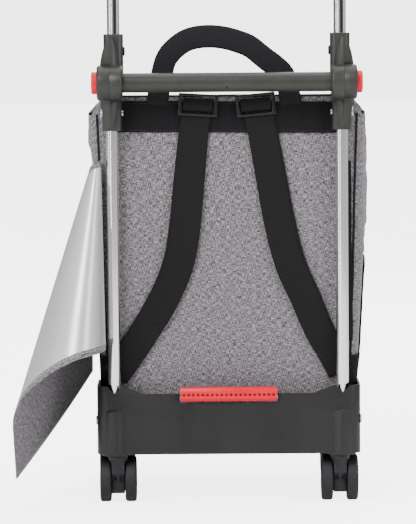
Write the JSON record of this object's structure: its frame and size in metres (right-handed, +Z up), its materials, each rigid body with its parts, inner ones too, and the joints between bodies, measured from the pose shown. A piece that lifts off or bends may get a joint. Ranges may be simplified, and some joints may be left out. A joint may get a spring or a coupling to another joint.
{
  "type": "shopping trolley with backpack bag",
  "caption": "Upright shopping trolley on twin-wheel swivel casters, with a folding tube handle on push-button knuckles, a moulded base tray and a removable soft backpack bag.",
  "frame": {"origin": "on the floor under the middle of the base tray, on the trolley's symmetry plane", "axes": "+Z up, -Y towards the person who pushes it, +Y towards the bag's front, +X to that person's right"},
  "size_m": [0.4578, 0.3597, 0.972],
  "materials": {
    "moulded_plastic": "fine moulded grain, dark charcoal",
    "caster_plastic": "moulded, satin black",
    "wheel_rubber": "moulded black wheel with a soft tread",
    "red_plastic": "satin moulded red",
    "aluminium_tube": "polished, fine drawn lines",
    "steel": "zinc plated",
    "black_steel": "black oxide",
    "grip_foam": "soft foam",
    "slider_plastic": "smooth black",
    "melange_fabric": "melange grey polyester weave",
    "black_fabric": "black polyester",
    "black_webbing": "ribbed webbing",
    "pocket_mesh": "open mesh",
    "flap_lining": "silver coated lining",
    "black_board": "stiff board"
  },
  "bodies": {
    "chassis": {"base_tray": "moulded_plastic", "lower_tube_left": "aluminium_tube", "lower_tube_right": "aluminium_tube", "lower_bracket_left": "moulded_plastic", "lower_bracket_right": "moulded_plastic", "frame_screws": "steel", "latch_pin": "steel", "latch_spring": "steel"},
    "handle": {"upper_bracket_left": "moulded_plastic", "upper_bracket_right": "moulded_plastic", "upper_tube_left": "aluminium_tube", "upper_tube_right": "aluminium_tube", "crossbar": "moulded_plastic", "handle_screws": "black_steel", "handle_grip": "moulded_plastic", "grip_sleeve": "grip_foam", "button_spring_left": "steel", "button_spring_right": "steel"},
    "button_left": {"button_left": "red_plastic", "lock_gear_left": "steel"},
    "button_right": {"button_right": "red_plastic", "lock_gear_right": "steel"},
    "latch": {"latch_lever": "red_plastic"},
    "bag": {"bag_shell": "melange_fabric", "bag_foot": "black_fabric", "base_board": "black_board", "back_band": "black_webbing", "top_handle": "black_webbing", "strap_left": "black_webbing", "strap_right": "black_webbing", "strap_sliders": "slider_plastic", "cover_flap": "flap_lining", "side_pocket": "pocket_mesh", "side_strip": "black_webbing", "front_pocket": "melange_fabric"},
    "lid": {"bag_lid": "melange_fabric"},
    "caster_rear_left": {"fork_rear_left": "caster_plastic", "stem_rear_left": "steel", "axle_rear_left": "steel"},
    "wheel_outer_rear_left": {"wheel_outer_rear_left": "wheel_rubber"},
    "wheel_inner_rear_left": {"wheel_inner_rear_left": "wheel_rubber"},
    "caster_rear_right": {"fork_rear_right": "caster_plastic", "stem_rear_right": "steel", "axle_rear_right": "steel"},
    "wheel_outer_rear_right": {"wheel_outer_rear_right": "wheel_rubber"},
    "wheel_inner_rear_right": {"wheel_inner_rear_right": "wheel_rubber"},
    "caster_front_left": {"fork_front_left": "caster_plastic", "stem_front_left": "steel", "axle_front_left": "steel"},
    "wheel_outer_front_left": {"wheel_outer_front_left": "wheel_rubber"},
    "wheel_inner_front_left": {"wheel_inner_front_left": "wheel_rubber"},
    "caster_front_right": {"fork_front_right": "caster_plastic", "stem_front_right": "steel", "axle_front_right": "steel"},
    "wheel_outer_front_right": {"wheel_outer_front_right": "wheel_rubber"},
    "wheel_inner_front_right": {"wheel_inner_front_right": "wheel_rubber"}
  },
  "joints": [
    {"name": "handle_fold", "type": "hinge", "parent": "chassis", "child": "handle", "pos_m": [0, -0.135, 0.548], "axis": [1, 0, 0], "range_deg": [0, 180]},
    {"name": "button_left_press", "type": "slide", "parent": "chassis", "child": "button_left", "axis": [1, 0, 0], "range_m": [0, 0.005], "stiffness_N_per_m": 600, "deforming": ["button_spring_left"]},
    {"name": "button_right_press", "type": "slide", "parent": "chassis", "child": "button_right", "axis": [-1, 0, 0], "range_m": [0, 0.005], "stiffness_N_per_m": 600, "deforming": ["button_spring_right"]},
    {"name": "latch_pull", "type": "hinge", "parent": "chassis", "child": "latch", "pos_m": [0, -0.121, 0.139], "axis": [1, 0, 0], "range_deg": [0, 20], "stiffness_Nm_per_rad": 0.3, "deforming": ["latch_spring"]},
    {"name": "bag_lift", "type": "slide", "parent": "chassis", "child": "bag", "axis": [0, 0.5, 0.866], "range_m": [0, 0.45]},
    {"name": "lid_open", "type": "hinge", "parent": "bag", "child": "lid", "pos_m": [0, -0.095, 0.53], "axis": [1, 0, 0], "range_deg": [0, 90]},
    {"name": "swivel_rear_left", "type": "hinge", "parent": "chassis", "child": "caster_rear_left", "pos_m": [-0.1445, -0.113, 0.06], "axis": [0, 0, 1], "continuous": true},
    {"name": "roll_outer_rear_left", "type": "hinge", "parent": "caster_rear_left", "child": "wheel_outer_rear_left", "pos_m": [-0.1445, -0.093, 0.03], "axis": [1, 0, 0], "continuous": true},
    {"name": "roll_inner_rear_left", "type": "hinge", "parent": "caster_rear_left", "child": "wheel_inner_rear_left", "pos_m": [-0.1445, -0.093, 0.03], "axis": [1, 0, 0], "continuous": true},
    {"name": "swivel_rear_right", "type": "hinge", "parent": "chassis", "child": "caster_rear_right", "pos_m": [0.1445, -0.113, 0.06], "axis": [0, 0, 1], "continuous": true},
    {"name": "roll_outer_rear_right", "type": "hinge", "parent": "caster_rear_right", "child": "wheel_outer_rear_right", "pos_m": [0.1445, -0.093, 0.03], "axis": [1, 0, 0], "continuous": true},
    {"name": "roll_inner_rear_right", "type": "hinge", "parent": "caster_rear_right", "child": "wheel_inner_rear_right", "pos_m": [0.1445, -0.093, 0.03], "axis": [1, 0, 0], "continuous": true},
    {"name": "swivel_front_left", "type": "hinge", "parent": "chassis", "child": "caster_front_left", "pos_m": [-0.1515, 0.091, 0.06], "axis": [0, 0, 1], "continuous": true},
    {"name": "roll_outer_front_left", "type": "hinge", "parent": "caster_front_left", "child": "wheel_outer_front_left", "pos_m": [-0.1515, 0.111, 0.03], "axis": [1, 0, 0], "continuous": true},
    {"name": "roll_inner_front_left", "type": "hinge", "parent": "caster_front_left", "child": "wheel_inner_front_left", "pos_m": [-0.1515, 0.111, 0.03], "axis": [1, 0, 0], "continuous": true},
    {"name": "swivel_front_right", "type": "hinge", "parent": "chassis", "child": "caster_front_right", "pos_m": [0.1515, 0.091, 0.06], "axis": [0, 0, 1], "continuous": true},
    {"name": "roll_outer_front_right", "type": "hinge", "parent": "caster_front_right", "child": "wheel_outer_front_right", "pos_m": [0.1515, 0.111, 0.03], "axis": [1, 0, 0], "continuous": true},
    {"name": "roll_inner_front_right", "type": "hinge", "parent": "caster_front_right", "child": "wheel_inner_front_right", "pos_m": [0.1515, 0.111, 0.03], "axis": [1, 0, 0], "continuous": true}
  ]
}
